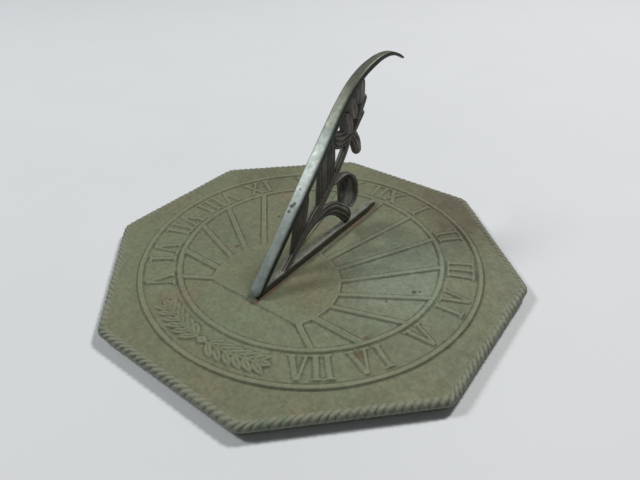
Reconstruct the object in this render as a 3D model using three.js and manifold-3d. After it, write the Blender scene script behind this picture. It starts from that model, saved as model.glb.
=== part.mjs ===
// Garden sundial: an octagonal cast dial plate with a rope border, hour ribs and Roman numerals,
// and a cast gnomon whose scythe-shaped style is held up by leaves and an ear of grain.
// Millimetres. Origin: centre of the rim's underside. +Y points to XII (noon), +Z is up.
import * as THREE from 'three';
import { mergeVertices } from 'three/addons/utils/BufferGeometryUtils.js';
import Module from 'manifold-3d';

const wasm = await Module();
wasm.setup();

// Driving dimensions
const ACROSS_FLATS = 254; // octagon over the rope border
const ROPE_RADIUS = 3;
const ROPE_HEIGHT = 6; // rope axis above the rim's underside
const FIELD_HEIGHT = 8; // flat of the dial above the rim's underside
const WEB_UNDERSIDE = 4; // ceiling of the shallow recess under the plate
const RIM_THICKNESS = 5;
const CORNER_TRIM = 0.8; // how far the octagon's points are rounded back
const RELIEF = 0.9; // height of the raised work above the field
const RELIEF_ROOT = 0.4; // how deep raised work is let into the plate
const CLEARANCE = 0.3; // gap between neighbouring solids
const WELL_ABOVE = 1; // how far a cutter stands clear of what it cuts

// Facets round a full circle
const FACETS = { corner: 240, ring: 72, boss: 48, hole: 24, fastener: 20, bud: 12 };

const HALF_FLATS = ACROSS_FLATS / 2;
const ROPE_LINE = HALF_FLATS - ROPE_RADIUS;
const RELIEF_TOP = FIELD_HEIGHT + RELIEF;
const RING_INNER = { from: 83, to: 86.5 };
const RING_OUTER = { from: 107, to: 110.4 };

// The hour lines fan out from one point south of the plate's centre, on a raised flat ("boss").
const FAN_SOUTH = 47;
const RIB_ANGLES = [13.7, 27.3, 41.4, 56.7, 71.3];
const RIB_WIDTH = 3.2;
const SIX_RIB_WIDTH = 4;
const NOON_STRIP_WIDTH = 10;
const BOSS_SOUTH = 35.8;
const BOSS_RADIUS = 40.5;
const BOSS_SOUTH_EDGE = 57.5;
const BOSS_CUT_HALF = 31; // half length of the boss's straight south edge
const RIB_REACH = 140; // from the fan point to beyond the inner ring
const SIX_RIB_REACH = 80;
const SEVEN_RIB = { from: [28, -52.5], to: [56, -70] }; // plan points, mirrored to the west

const NUMERAL_RADIUS = 96.5;
const NUMERAL_HEIGHT = 17;
const NUMERALS = [
  ['XII', 0], ['I', 19.4], ['II', 41], ['III', 63.3], ['IV', 82.7], ['V', 103.5], ['VI', 124.2],
  ['VII', 143], ['V', 217], ['VI', 234.7], ['VII', 254.7], ['VIII', 276], ['IX', 297.2],
  ['X', 319], ['XI', 341],
];
const THICK_STROKE = 2.9;
const THIN_STROKE = 1.6;
const SPLAY = 4.6; // half the spread of a V or an X
const SERIF = { length: 5.6, thickness: 1.4 };
const ADVANCE = { I: 6.4, V: 12.5, X: 13 };
const LOOSE_SPACING = { II: 1, IV: 2.5, VI: 2.5, IX: 1.5, XI: 1.5 };

// Leaf spray filling the band between the last evening hour and the first morning hour
const SPRAY = {
  middle: 180.5, reach: 23, leaves: 6, leafLength: 11, leafWidth: 4, spread: 38,
  budRadius: 2.6, stalkWidth: 1.2, tipLeafLength: 7,
};

// Gnomon
const DIAL_LEVEL = 8.5; // level that the gnomon's own heights are counted from
const STYLE_THICKNESS = 4.2;
const RAIL = {
  halfWidth: 3.2, top: 5.5, front: -52, taperFrom: 64, toe: 79, toeHalfWidth: 0.9,
  bevel: { length: 9, drop: 3.2 },
};
const SCREW_STATIONS = [-36, 52]; // along the noon line
const SCREW = {
  radius: 1.75, headRadius: 3.4, headHeight: 2, reach: 4.2, chamfer: 0.4, slotWidth: 0.9, slotDepth: 0.8,
};
const WASHER = { outer: 5, inner: 2.1, thickness: 0.8 };

const degrees = (angle) => THREE.MathUtils.degToRad(angle);
// A place on the dial by its bearing clockwise from noon and its distance from the centre
const onDial = (bearing, radius) => new THREE.Vector2(
  radius * Math.sin(degrees(bearing)),
  radius * Math.cos(degrees(bearing)),
);

// --- solids ---------------------------------------------------------------

function solid(geometry) {
  const bare = new THREE.BufferGeometry();
  bare.setAttribute('position', geometry.getAttribute('position'));
  bare.setIndex(geometry.getIndex());
  const merged = mergeVertices(bare, 1e-4);
  const index = merged.getIndex().array;
  const triVerts = [];
  for (let i = 0; i < index.length; i += 3) {
    const [a, b, c] = [index[i], index[i + 1], index[i + 2]];
    if (a !== b && b !== c && c !== a) triVerts.push(a, b, c);
  }
  return new wasm.Manifold(new wasm.Mesh({
    numProp: 3,
    vertProperties: Float32Array.from(merged.getAttribute('position').array),
    triVerts: Uint32Array.from(triVerts),
  }));
}

const join = (parts) => parts.reduce((whole, part) => whole.add(part));

// A shape drawn in plan, standing from one height to another
function standing(shape, from, to) {
  const geometry = new THREE.ExtrudeGeometry(shape, { depth: to - from, bevelEnabled: false });
  return solid(geometry.translate(0, 0, from));
}

// A shape drawn in the gnomon's plane (across = north, up = height), centred on the noon line
function upright(points, thickness) {
  const shape = new THREE.Shape(points);
  const geometry = new THREE.ExtrudeGeometry(shape, { depth: thickness, bevelEnabled: false });
  geometry.translate(0, 0, -thickness / 2);
  const north = new THREE.Vector3(0, 1, 0);
  const up = new THREE.Vector3(0, 0, 1);
  const east = new THREE.Vector3(1, 0, 0);
  geometry.applyMatrix4(new THREE.Matrix4().makeBasis(north, up, east));
  return solid(geometry);
}

// A profile of [radius, height] turned about +Z; the profile is closed or ends on the axis
function turned(profile, segments, phase = 0) {
  const points = profile.map(([radius, height]) => new THREE.Vector2(radius, height));
  const geometry = new THREE.LatheGeometry(points, segments, phase);
  return solid(geometry.rotateX(Math.PI / 2));
}

function disc(x, y, radius, from, to, segments = FACETS.hole) {
  const circle = new THREE.Shape().absarc(x, y, radius, 0, 2 * Math.PI);
  const outline = new THREE.Shape(circle.getPoints(segments).slice(0, -1));
  return standing(outline, from, to);
}

// --- dial plate -----------------------------------------------------------

function plateCasting() {
  const mitre = 1 / Math.cos(Math.PI / 8);
  const ropeSection = [-90, -60, -30, 0, 30, 60, 90, 120].map((angle) => [
    ROPE_LINE + ROPE_RADIUS * Math.cos(degrees(angle)),
    ROPE_HEIGHT + ROPE_RADIUS * Math.sin(degrees(angle)),
  ]);
  const section = [
    [0, WEB_UNDERSIDE],
    [ROPE_LINE - RIM_THICKNESS, WEB_UNDERSIDE],
    [ROPE_LINE - RIM_THICKNESS + 1, 0],
    [ROPE_LINE, 0],
    ...ropeSection,
    [ROPE_LINE - ROPE_RADIUS, FIELD_HEIGHT],
    [0, FIELD_HEIGHT],
  ].map(([apothem, height]) => [apothem * mitre, height]);
  const octagon = turned(section, 8, Math.PI / 8);
  const cornerRadius = HALF_FLATS * mitre - CORNER_TRIM;
  const rounding = disc(0, 0, cornerRadius, -WELL_ABOVE, FIELD_HEIGHT + ROPE_RADIUS, FACETS.corner);
  return octagon.intersect(rounding);
}

function ringMoulding({ from, to }) {
  const foot = FIELD_HEIGHT - RELIEF_ROOT;
  const slope = 0.7; // how far each side leans in
  return turned([
    [from, foot], [to, foot], [to, FIELD_HEIGHT], [to - slope, RELIEF_TOP],
    [from + slope, RELIEF_TOP], [from, FIELD_HEIGHT], [from, foot],
  ], FACETS.ring);
}

const raised = (points) => standing(new THREE.Shape(points), FIELD_HEIGHT - RELIEF_ROOT, RELIEF_TOP);

// A straight raised band between two plan points
function band(start, end, width) {
  const side = end.clone().sub(start).normalize().multiplyScalar(width / 2);
  side.set(-side.y, side.x);
  return raised([
    start.clone().sub(side), end.clone().sub(side), end.clone().add(side), start.clone().add(side),
  ]);
}

function hourRibs() {
  const fan = new THREE.Vector2(0, -FAN_SOUTH);
  const limit = RING_INNER.to - 1; // under the inner ring
  const bands = [band(new THREE.Vector2(0, 0), onDial(0, limit), NOON_STRIP_WIDTH)];
  for (const side of [-1, 1]) {
    const mirrored = ([x, y]) => new THREE.Vector2(side * x, y);
    for (const angle of RIB_ANGLES) {
      bands.push(band(fan, onDial(side * angle, RIB_REACH).add(fan), RIB_WIDTH));
    }
    bands.push(band(fan, mirrored([SIX_RIB_REACH, -FAN_SOUTH]), SIX_RIB_WIDTH));
    bands.push(band(mirrored(SEVEN_RIB.from), mirrored(SEVEN_RIB.to), RIB_WIDTH));
  }
  const boss = disc(0, -BOSS_SOUTH, BOSS_RADIUS, FIELD_HEIGHT - RELIEF_ROOT, RELIEF_TOP, FACETS.boss);
  const southCut = standing(new THREE.Shape([
    new THREE.Vector2(-BOSS_CUT_HALF, -BOSS_SOUTH_EDGE), new THREE.Vector2(-BOSS_CUT_HALF, -HALF_FLATS),
    new THREE.Vector2(BOSS_CUT_HALF, -HALF_FLATS), new THREE.Vector2(BOSS_CUT_HALF, -BOSS_SOUTH_EDGE),
  ]), FIELD_HEIGHT, RELIEF_TOP + WELL_ABOVE);
  const work = join([...bands, boss]).subtract(southCut);
  return work.intersect(disc(0, 0, limit, 0, RELIEF_TOP + WELL_ABOVE, FACETS.ring));
}

// Strokes of one letter: along = reading direction, out = away from the dial's centre
function letterStrokes(letter) {
  const half = NUMERAL_HEIGHT / 2;
  const serifAt = half - SERIF.thickness / 2;
  const serif = (along, out) => [
    along - SERIF.length / 2, out, along + SERIF.length / 2, out, SERIF.thickness,
  ];
  const strokes = {
    I: [[0, -half, 0, half, THICK_STROKE], serif(0, -serifAt), serif(0, serifAt)],
    V: [
      [-SPLAY, -half, 0, half, THICK_STROKE], [SPLAY, -half, THIN_STROKE / 4, half, THIN_STROKE],
      serif(-SPLAY, -serifAt), serif(SPLAY, -serifAt),
    ],
    X: [
      [-SPLAY, -half, SPLAY, half, THICK_STROKE], [SPLAY, -half, -SPLAY, half, THIN_STROKE],
      serif(-SPLAY, -serifAt), serif(SPLAY, -serifAt), serif(-SPLAY, serifAt), serif(SPLAY, serifAt),
    ],
  };
  return strokes[letter];
}

// A numeral bent round the ring, read from outside with its top towards the centre
function numeral(text, bearing) {
  const loose = LOOSE_SPACING[text] ?? 0;
  const letters = [...text];
  const length = letters.reduce((sum, letter) => sum + ADVANCE[letter], loose * (letters.length - 1));
  const wrapped = (along, out) => onDial(
    bearing - THREE.MathUtils.radToDeg(along / NUMERAL_RADIUS),
    NUMERAL_RADIUS + out,
  );
  let pen = -length / 2;
  const parts = [];
  for (const letter of letters) {
    const centre = pen + ADVANCE[letter] / 2;
    for (const [a0, o0, a1, o1, width] of letterStrokes(letter)) {
      parts.push(band(wrapped(centre + a0, o0), wrapped(centre + a1, o1), width));
    }
    pen += ADVANCE[letter] + loose;
  }
  return join(parts);
}

function leafOutline(root, direction, length, width) {
  const along = new THREE.Vector2(Math.cos(direction), Math.sin(direction));
  const across = new THREE.Vector2(-along.y, along.x);
  const place = (t, s) => (
    root.clone().addScaledVector(along, t * length).addScaledVector(across, s * width / 2)
  );
  return [
    place(0, 0), place(0.2, -0.75), place(0.45, -1), place(0.75, -0.6),
    place(1, 0), place(0.75, 0.6), place(0.45, 1), place(0.2, 0.75),
  ];
}

function leafSpray() {
  const { x, y } = onDial(SPRAY.middle, NUMERAL_RADIUS);
  const parts = [disc(x, y, SPRAY.budRadius, FIELD_HEIGHT - RELIEF_ROOT, RELIEF_TOP, FACETS.bud)];
  const step = SPRAY.reach / (SPRAY.leaves + 0.8);
  for (const side of [-1, 1]) {
    for (let i = 0; i < SPRAY.leaves; i += 1) {
      const bearing = SPRAY.middle + side * step * (i + 0.4);
      const next = SPRAY.middle + side * step * (i + 1.4);
      const stalk = [onDial(bearing, NUMERAL_RADIUS), onDial(next, NUMERAL_RADIUS)];
      parts.push(band(...stalk, SPRAY.stalkWidth));
      const root = onDial(bearing + side * step * 0.3, NUMERAL_RADIUS);
      const heading = degrees(90 - bearing) - side * Math.PI / 2;
      for (const lean of [-1, 1]) {
        const direction = heading + lean * degrees(SPRAY.spread);
        parts.push(raised(leafOutline(root, direction, SPRAY.leafLength, SPRAY.leafWidth)));
      }
    }
    const tip = onDial(SPRAY.middle + side * step * (SPRAY.leaves + 0.3), NUMERAL_RADIUS);
    const tipHeading = degrees(90 - SPRAY.middle - side * SPRAY.reach) - side * Math.PI / 2;
    parts.push(raised(leafOutline(tip, tipHeading, SPRAY.tipLeafLength, SPRAY.leafWidth)));
  }
  return join(parts);
}

function dialPlate() {
  const relief = [
    ringMoulding(RING_INNER), ringMoulding(RING_OUTER), hourRibs(), leafSpray(),
    ...NUMERALS.map(([text, bearing]) => numeral(text, bearing)),
  ];
  const clearanceHoles = SCREW_STATIONS.map((station) => (
    disc(0, station, SCREW.radius + CLEARANCE, 0, RELIEF_TOP + WELL_ABOVE)
  ));
  return join([plateCasting(), ...relief]).subtract(join(clearanceHoles));
}

// --- gnomon ---------------------------------------------------------------

// Points in the gnomon's plane are given as [north, height above the dial level].
const inPlane = ([north, height]) => new THREE.Vector2(north, height + DIAL_LEVEL);

// A smooth curve through such points
const curveThrough = (points, closed) => new THREE.CatmullRomCurve3(
  points.map(([north, height]) => new THREE.Vector3(north, height + DIAL_LEVEL, 0)),
  closed,
  'centripetal',
);

function smoothOutline(points, divisions = 36) {
  const spaced = curveThrough(points, true).getSpacedPoints(divisions).slice(0, -1);
  return spaced.map(({ x, y }) => new THREE.Vector2(x, y));
}

// The outline moved outwards by a distance
function grown(points, distance) {
  const inwardOrder = THREE.ShapeUtils.area(points) < 0 ? -1 : 1;
  return points.map((point, i) => {
    const before = points.at(i - 1);
    const after = points[(i + 1) % points.length];
    const along = after.clone().sub(before).normalize();
    const outward = new THREE.Vector2(along.y, -along.x).multiplyScalar(inwardOrder * distance);
    return point.clone().add(outward);
  });
}

// A bar of changing width along a smooth line; knots are [north, height, half width]
function barOutline(knots, divisions) {
  const line = curveThrough(knots, false);
  const left = [];
  const right = [];
  for (let i = 0; i <= divisions; i += 1) {
    const t = i / divisions;
    const { x, y } = line.getPoint(t);
    const along = line.getTangent(t);
    const place = t * (knots.length - 1);
    const before = Math.min(Math.floor(place), knots.length - 2);
    const half = THREE.MathUtils.lerp(knots[before][2], knots[before + 1][2], place - before);
    left.push(new THREE.Vector2(x - along.y * half, y + along.x * half));
    right.unshift(new THREE.Vector2(x + along.y * half, y - along.x * half));
  }
  return [...left, ...right];
}

// Upper face of the style: straight from the foot, then curving over like a scythe blade
const STYLE_KNOTS = [
  [-56.6, 2.9], [-40, 20.6], [-20, 41.8], [0, 63], [12, 75.7], [22, 86.6], [30, 94.6], [39.4, 102.2],
  [48, 107], [61.7, 111.4], [73, 112.7], [83, 112], [93, 108.9], [103.5, 103.6],
];

// Its upper and lower edge, each moved outwards by an extra distance
function styleSides(extra = 0, divisions = 30) {
  const curve = curveThrough(STYLE_KNOTS, false);
  const upper = [];
  const lower = [];
  for (let i = 0; i <= divisions; i += 1) {
    const t = i / divisions;
    const { x, y } = curve.getPointAt(t);
    const along = curve.getTangentAt(t);
    const towardsTip = Math.min(1, 0.3 + 3.2 * (1 - t));
    const towardsFoot = Math.min(1, 0.55 + 6 * t);
    const depth = STYLE_THICKNESS * towardsTip * towardsFoot;
    upper.push(new THREE.Vector2(x - along.y * extra, y + along.x * extra));
    lower.unshift(new THREE.Vector2(x + along.y * (depth + extra), y - along.x * (depth + extra)));
  }
  return { upper, lower };
}

const styleOutline = (extra = 0) => Object.values(styleSides(extra)).flat();

// Everything above the style's underside, a clearance lower
function overStyle() {
  const { lower } = styleSides(CLEARANCE);
  return [
    ...lower,
    new THREE.Vector2(-HALF_FLATS, 0),
    new THREE.Vector2(-HALF_FLATS, ACROSS_FLATS),
    new THREE.Vector2(HALF_FLATS, ACROSS_FLATS),
  ];
}

const CUTTER_THICKNESS = 20; // wider than anything in the gnomon

// Half width of the style's face at places along the noon line
const STYLE_PLAN = [
  [-58, 2.2], [-55, 3.9], [-48, 3.3], [-20, 3.3], [0, 3.7], [15, 3.7], [40, 3.2], [62, 2.7], [75, 2.5],
  [88, 2.1], [98, 1.4], [104.5, 0.7],
];

function style() {
  const plan = [
    ...STYLE_PLAN.map(([north, half]) => new THREE.Vector2(half, north)),
    ...STYLE_PLAN.toReversed().map(([north, half]) => new THREE.Vector2(-half, north)),
  ];
  const bar = upright(styleOutline(), CUTTER_THICKNESS);
  return bar.intersect(standing(new THREE.Shape(plan), RELIEF_TOP + CLEARANCE, ACROSS_FLATS));
}

function baseRail() {
  const { halfWidth, top, front, taperFrom, toe, toeHalfWidth, bevel } = RAIL;
  const shoulder = [halfWidth * 0.75, toe - 6];
  const eastSide = [[halfWidth, front], [halfWidth, taperFrom], shoulder, [toeHalfWidth, toe]];
  const plan = new THREE.Shape([
    ...eastSide.map(([x, y]) => new THREE.Vector2(x, y)),
    ...eastSide.toReversed().map(([x, y]) => new THREE.Vector2(-x, y)),
  ]);
  const bar = standing(plan, RELIEF_TOP + CLEARANCE, top + DIAL_LEVEL);
  const tapped = SCREW_STATIONS.map((station) => (
    disc(0, station, SCREW.radius + CLEARANCE, 0, RELIEF_TOP + CLEARANCE + SCREW.reach)
  ));
  const aboveToe = [
    [toe - bevel.length, top], [toe + WELL_ABOVE, top - bevel.drop],
    [toe + WELL_ABOVE, top + WELL_ABOVE], [toe - bevel.length, top + WELL_ABOVE],
  ];
  const cutters = [aboveToe.map(inPlane), styleOutline(CLEARANCE)];
  return bar.subtract(join([...tapped, ...cutters.map((outline) => upright(outline, CUTTER_THICKNESS))]));
}

const STEM_THICKNESS = 4.8;
const STEM = barOutline([
  [-27, 5.4, 2.2], [-18, 12.3, 2.9], [-10, 18.5, 3.2], [0, 26.8, 3.5], [10, 34.5, 3.4], [18, 41.5, 3],
  [25, 48.5, 2.8], [30.7, 55.5, 2.6], [36, 63.4, 2.6],
], 16);

// Leaves and husks, each as its outline. Neighbours are cut back from those named before them.
const BLADES = [
  ['leaf_front', 3.6, [
    [-21, 10], [-20.3, 20], [-18.6, 28], [-17.8, 35], [-16, 44], [-9, 52], [-3, 52], [-2, 46],
    [-2.4, 39], [-4.2, 32], [-7.4, 26], [-12, 19],
  ]],
  ['leaf_middle', 3.6, [
    [6, 32], [5.4, 42], [6, 50], [6.6, 58], [6.5, 66], [10, 76], [14.6, 76], [15.1, 66], [15.2, 52],
    [14.2, 40],
  ]],
  ['leaf_rear', 3.6, [
    [16.4, 41], [15.9, 52], [15.8, 66], [15.6, 76], [17, 84], [21.5, 82], [22.4, 74], [24.4, 66],
    [24.5, 58], [24, 51], [22, 44],
  ]],
  ['leaf_arch', 4.4, [
    [-6, 18.6], [3, 21], [10, 21.4], [18, 20.1], [25, 17], [31, 11.6], [35, 6.6], [39, 4.8], [44, 4.6],
    [45.4, 9.4], [43, 14.6], [38, 20], [33, 23.7], [27, 27.5], [20, 29.6], [11, 30.4], [2, 27],
  ]],
  ['leaf_hood', 4.4, [
    [22, 43], [27.5, 44.2], [33, 44.6], [39, 43.4], [45, 40.2], [49, 35.2], [51.4, 29], [51.7, 23],
    [50.4, 18.6], [47, 16.4], [43, 15.6], [38, 19], [33, 22.4], [29.6, 26.2], [28.7, 32.4], [28.8, 38],
    [26.6, 41.2],
  ]],
  ['ear_collar', 5, [
    [20.4, 78], [23.4, 77.2], [27, 75.8], [31, 74.8], [36, 74], [40, 72.4], [42.2, 70], [40.4, 66.6],
    [36, 64.6], [32, 63.6], [28, 64.4], [24.2, 65.4], [22, 69], [20, 74],
  ]],
  ['ear_drooping_petal', 4.4, [
    [42, 72.4], [45.2, 71.2], [48.2, 68.4], [51, 65], [52.9, 60], [53.2, 56], [51.6, 53.2], [49, 53.1],
    [45.4, 55], [43.4, 58.6], [42, 62], [40.4, 65.8],
  ]],
  ['ear_husk_low_south', 6, [
    [30.3, 75.4], [29.6, 80], [30.4, 84.6], [32.6, 86.6], [36, 85.6], [40, 83], [43, 79.6], [43.6, 76],
    [41, 73.2], [36, 74.6],
  ]],
  ['ear_husk_low_north', 6, [
    [43.6, 76], [43.2, 80], [46, 81.6], [50, 82.2], [53, 82.6], [54.3, 81], [53, 78.4], [50, 75.2],
    [46.4, 72.2], [42.4, 72.6],
  ]],
  ['ear_husk_high_south', 6.6, [
    [35.4, 86.2], [34.2, 90], [35.6, 93.8], [39, 95], [42.4, 93], [46, 89.6], [47.2, 86], [43.8, 80.8],
    [40.4, 83.2],
  ]],
  ['ear_husk_high_north', 6.6, [
    [47.2, 86], [46.6, 89.6], [50, 91.4], [54, 92], [56, 88.8], [55, 86.2], [52.4, 83], [46.4, 82],
  ]],
  ['ear_bud', 7, [
    [39.2, 95.4], [40.4, 99], [44, 102.4], [49, 105.4], [52.4, 103.2], [53.4, 101], [54.5, 96],
    [54.2, 92.2], [50, 91.5], [46.4, 89.8], [42.4, 93.2],
  ]],
];

function blades() {
  const railTop = RAIL.top + CLEARANCE;
  const belowRailTop = [
    [-HALF_FLATS, -DIAL_LEVEL], [HALF_FLATS, -DIAL_LEVEL], [HALF_FLATS, railTop], [-HALF_FLATS, railTop],
  ];
  const taken = [
    upright(overStyle(), CUTTER_THICKNESS),
    upright(belowRailTop.map(inPlane), CUTTER_THICKNESS),
  ];
  const stem = upright(STEM, STEM_THICKNESS).subtract(join(taken));
  taken.push(upright(grown(STEM, CLEARANCE), CUTTER_THICKNESS));
  const cut = [['stem', stem]];
  for (const [name, thickness, knots] of BLADES) {
    const outline = smoothOutline(knots);
    cut.push([name, upright(outline, thickness).subtract(join(taken))]);
    taken.push(upright(grown(outline, CLEARANCE), CUTTER_THICKNESS));
  }
  return cut;
}

// --- fasteners ------------------------------------------------------------

function washer() {
  const { outer, inner, thickness } = WASHER;
  const top = WEB_UNDERSIDE - CLEARANCE;
  return turned([
    [inner, top - thickness], [outer, top - thickness], [outer, top], [inner, top], [inner, top - thickness],
  ], FACETS.fastener);
}

// Slotted pan-head screw, head down, its shank reaching up into the rail
function screw() {
  const { radius, headRadius, headHeight, reach, chamfer, slotWidth, slotDepth } = SCREW;
  const seat = WEB_UNDERSIDE - 2 * CLEARANCE - WASHER.thickness;
  const bottom = seat - headHeight;
  const end = RELIEF_TOP + reach;
  const body = turned([
    [0, bottom], [headRadius * 0.7, bottom], [headRadius, bottom + 0.6], [headRadius, seat],
    [radius, seat], [radius, end - chamfer], [radius - chamfer, end], [0, end],
  ], FACETS.fastener);
  const slot = new THREE.BoxGeometry(headRadius * 3, slotWidth, slotDepth * 2);
  return body.subtract(solid(slot.translate(0, 0, bottom)));
}

// --- the assembly ---------------------------------------------------------

const PATINA = { color: 0x73755c, roughness: 0.8, metalness: 0.25 };
const BRONZE_GREEN = { color: 0x707c78, roughness: 0.35, metalness: 0.6 };
const DARK_BRONZE = { color: 0x4a463f, roughness: 0.55, metalness: 0.5 };
const BRASS = { color: 0x8a7440, roughness: 0.45, metalness: 0.9 };

const sundial = new THREE.Group();

function addPiece(name, manifold, finish) {
  const { vertProperties, triVerts } = manifold.getMesh();
  const geometry = new THREE.BufferGeometry();
  geometry.setAttribute('position', new THREE.BufferAttribute(Float32Array.from(vertProperties), 3));
  geometry.setIndex(new THREE.BufferAttribute(Uint32Array.from(triVerts), 1));
  const mesh = new THREE.Mesh(geometry, new THREE.MeshStandardMaterial(finish));
  mesh.name = name;
  sundial.add(mesh);
  return mesh;
}

addPiece('dial_plate', dialPlate(), PATINA);
addPiece('style', style(), BRONZE_GREEN);
addPiece('base_rail', baseRail(), BRONZE_GREEN);
for (const [name, blade] of blades()) addPiece(name, blade, DARK_BRONZE);
SCREW_STATIONS.forEach((station, i) => {
  const place = ['south', 'north'][i];
  addPiece(`washer_${place}`, washer(), BRASS).position.set(0, station, 0);
  addPiece(`screw_${place}`, screw(), BRASS).position.set(0, station, 0);
});

export default sundial;
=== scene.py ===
import math

import bpy
import numpy as np
from mathutils import Matrix, Vector


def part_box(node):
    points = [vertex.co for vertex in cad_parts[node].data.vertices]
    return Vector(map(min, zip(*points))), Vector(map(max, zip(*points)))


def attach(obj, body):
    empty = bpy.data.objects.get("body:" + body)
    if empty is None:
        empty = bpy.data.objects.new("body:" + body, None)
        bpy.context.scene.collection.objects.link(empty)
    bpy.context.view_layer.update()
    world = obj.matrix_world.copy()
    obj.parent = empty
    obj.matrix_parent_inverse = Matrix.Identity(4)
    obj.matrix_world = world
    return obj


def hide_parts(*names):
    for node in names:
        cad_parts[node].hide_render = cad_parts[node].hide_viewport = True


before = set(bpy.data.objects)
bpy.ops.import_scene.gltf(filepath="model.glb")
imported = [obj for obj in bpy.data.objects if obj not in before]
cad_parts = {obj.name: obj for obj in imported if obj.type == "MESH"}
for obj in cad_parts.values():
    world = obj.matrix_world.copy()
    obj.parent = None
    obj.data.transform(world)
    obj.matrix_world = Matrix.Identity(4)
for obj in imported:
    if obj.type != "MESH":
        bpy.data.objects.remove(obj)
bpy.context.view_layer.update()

MM = 0.001


def cad_box(node):
    """A CAD node's lowest and highest corners in millimetres."""
    return [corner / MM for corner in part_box(node)]


# Dial plate
PLATE_HIGH = cad_box("dial_plate")[1]
HALF_FLATS = PLATE_HIGH.x
ROPE_TOP = PLATE_HIGH.z
ROPE_RADIUS = 3.0
ROPE_LINE = HALF_FLATS - ROPE_RADIUS
ROPE_HEIGHT = ROPE_TOP - ROPE_RADIUS
STRAND_COUNT = 186
STRANDS_IN_ROPE = 3
STRAND_DEPTH = 0.78
STRAND_ROUNDNESS = 0.6
STRAND_LOW_SHARE = 0.12
ROPE_STATIONS, ROPE_AROUND = 2400, 32
ROPE_DRIFT, ROPE_FULLNESS = 0.0006, 0.94
FIELD_HEIGHT = ROPE_TOP - 1.0
FIELD_DROP = 0.03
RELIEF = 0.9
WEB_UNDERSIDE = 4.0
RIM_THICKNESS = 5.0
CEILING_FROM = 0.5
CORNER_SHARPNESS = 120
DIAL_BEARING_STEP, DIAL_INNER_STEP, DIAL_OUTER_STEP, DIAL_EDGE_ROWS = 0.25, 0.5, 0.4, 20

RING_INNER = (83.0, 86.5)
RING_OUTER = (107.0, 110.4)
RING_SOFTNESS, RING_NARROWING, RING_WOBBLE = 0.55, 0.3, 0.05
GROOVE_OUTSIDE, GROOVE_WIDTH, GROOVE_DEPTH = 0.5, 0.35, 0.22
SEAM_BEARING, SEAM_WIDTH, SEAM_HEIGHT = 133.0, 0.3, 0.12
FAN = np.array([0.0, -47.0])
RIB_ANGLES = [13.7, 27.3, 41.4, 56.7, 71.3]
RIB_WIDTH, RIB_REACH = 3.2, 140.0
SIX_RIB_WIDTH, SIX_RIB_REACH = 4.0, 80.0
HOUR_LINE_SOFTNESS, HOUR_LINE_WOBBLE = 0.6, 0.06
SEVEN_RIB = ((28.0, -52.5), (56.0, -70.0))
NOON_STRIP_WIDTH = 10.0
BOSS_CENTRE = np.array([0.0, -35.8])
BOSS_RADIUS = 40.5
BOSS_SOUTH_EDGE = -57.5
BOSS_SOUTH_REACH = 31

NUMERAL_RADIUS = 96.5
NUMERAL_HEIGHT = 17.0
NUMERALS = [
    ("XII", 0), ("I", 19.4), ("II", 41), ("III", 63.3), ("IV", 82.7), ("V", 103.5), ("VI", 124.2),
    ("VII", 143), ("V", 217), ("VI", 234.7), ("VII", 254.7), ("VIII", 276), ("IX", 297.2), ("X", 319),
    ("XI", 341),
]
THICK_STROKE, THIN_STROKE, V_FOOT_SHIFT = 2.9, 1.6, 0.4
NUMERAL_SOFTNESS, NUMERAL_WOBBLE = 0.5, 0.07
SERIF_LENGTH, SERIF_THICKNESS = 5.6, 1.4
SPLAY = 4.6
ADVANCE = {"I": 6.4, "V": 12.5, "X": 13.0}
LOOSE_SPACING = {"II": 1.0, "IV": 2.5, "VI": 2.5, "IX": 1.5, "XI": 1.5}

SPRAY_MIDDLE, SPRAY_REACH, SPRAY_LEAVES = 180.5, 23.0, 6
SPRAY_LEAF_LENGTH, SPRAY_LEAF_WIDTH, SPRAY_SPREAD = 11.0, 4.2, 38.0
SPRAY_TIP_LENGTH, SPRAY_STEM_WIDTH, SPRAY_STEM_RELIEF = 7, 1.2, 0.9
SPRAY_VEIN_WIDTH, SPRAY_VEIN_DEPTH, SPRAY_BUD_RADIUS = 0.45, 0.4, 2.6

# Gnomon: points in its plane are [north, height above the dial level]. BAR_DROP lowers the bars a little,
# so that their unevenness stays inside the CAD box.
DIAL_LEVEL = 8.5
BAR_SQUARENESS, BAR_AROUND = 5.0, 64
BAR_DROP = 0.12
STYLE_STATIONS, RAIL_STATIONS, STEM_STATIONS = 320, 260, 200
STYLE_THICKNESS, STYLE_FOOT_SHARE, STYLE_TIP_SHARE = 4.2, 0.62, 0.3
STYLE_NOSE, STYLE_POINT = 0.018, 0.008
STYLE_KNOTS = [
    (-56.6, 2.9), (-40, 20.6), (-20, 41.8), (0, 63), (12, 75.7), (22, 86.6), (30, 94.6), (39.4, 102.2),
    (48, 107), (61.7, 111.4), (73, 112.7), (83, 112), (93, 108.9), (103.5, 103.6),
]
STYLE_PLAN = [
    (-58, 3.4), (-54, 4.2), (-48, 4.0), (-20, 4.2), (0, 4.5), (15, 4.4), (40, 3.8), (62, 3.2), (75, 2.7),
    (88, 2.1), (98, 1.5), (104, 1.0),
]
STEM_KNOTS = [
    (-30.5, 2.2), (-26, 5.8), (-18, 12.3), (-10, 18.5), (0, 26.8), (10, 34.5), (18, 41.5), (25, 48.5),
    (30.7, 55.5), (36, 63.4), (38.5, 70),
]
STEM_HALF_WIDTHS = [2.4, 2.6, 3.2, 3.7, 4.1, 4.0, 3.5, 3.1, 2.8, 2.6, 2.6]
STEM_HALF_THICKNESS, STEM_SQUARENESS = 2.4, 2.3
STEM_FLUTES, STEM_FLUTE_DEPTH, STEM_ROOT_FLARE = 8, 0.15, 0.2
RAIL_LOW, RAIL_HIGH = cad_box("base_rail")
RAIL_FACE_SHARE, RAIL_FLARE = 0.93, 0.07
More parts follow.
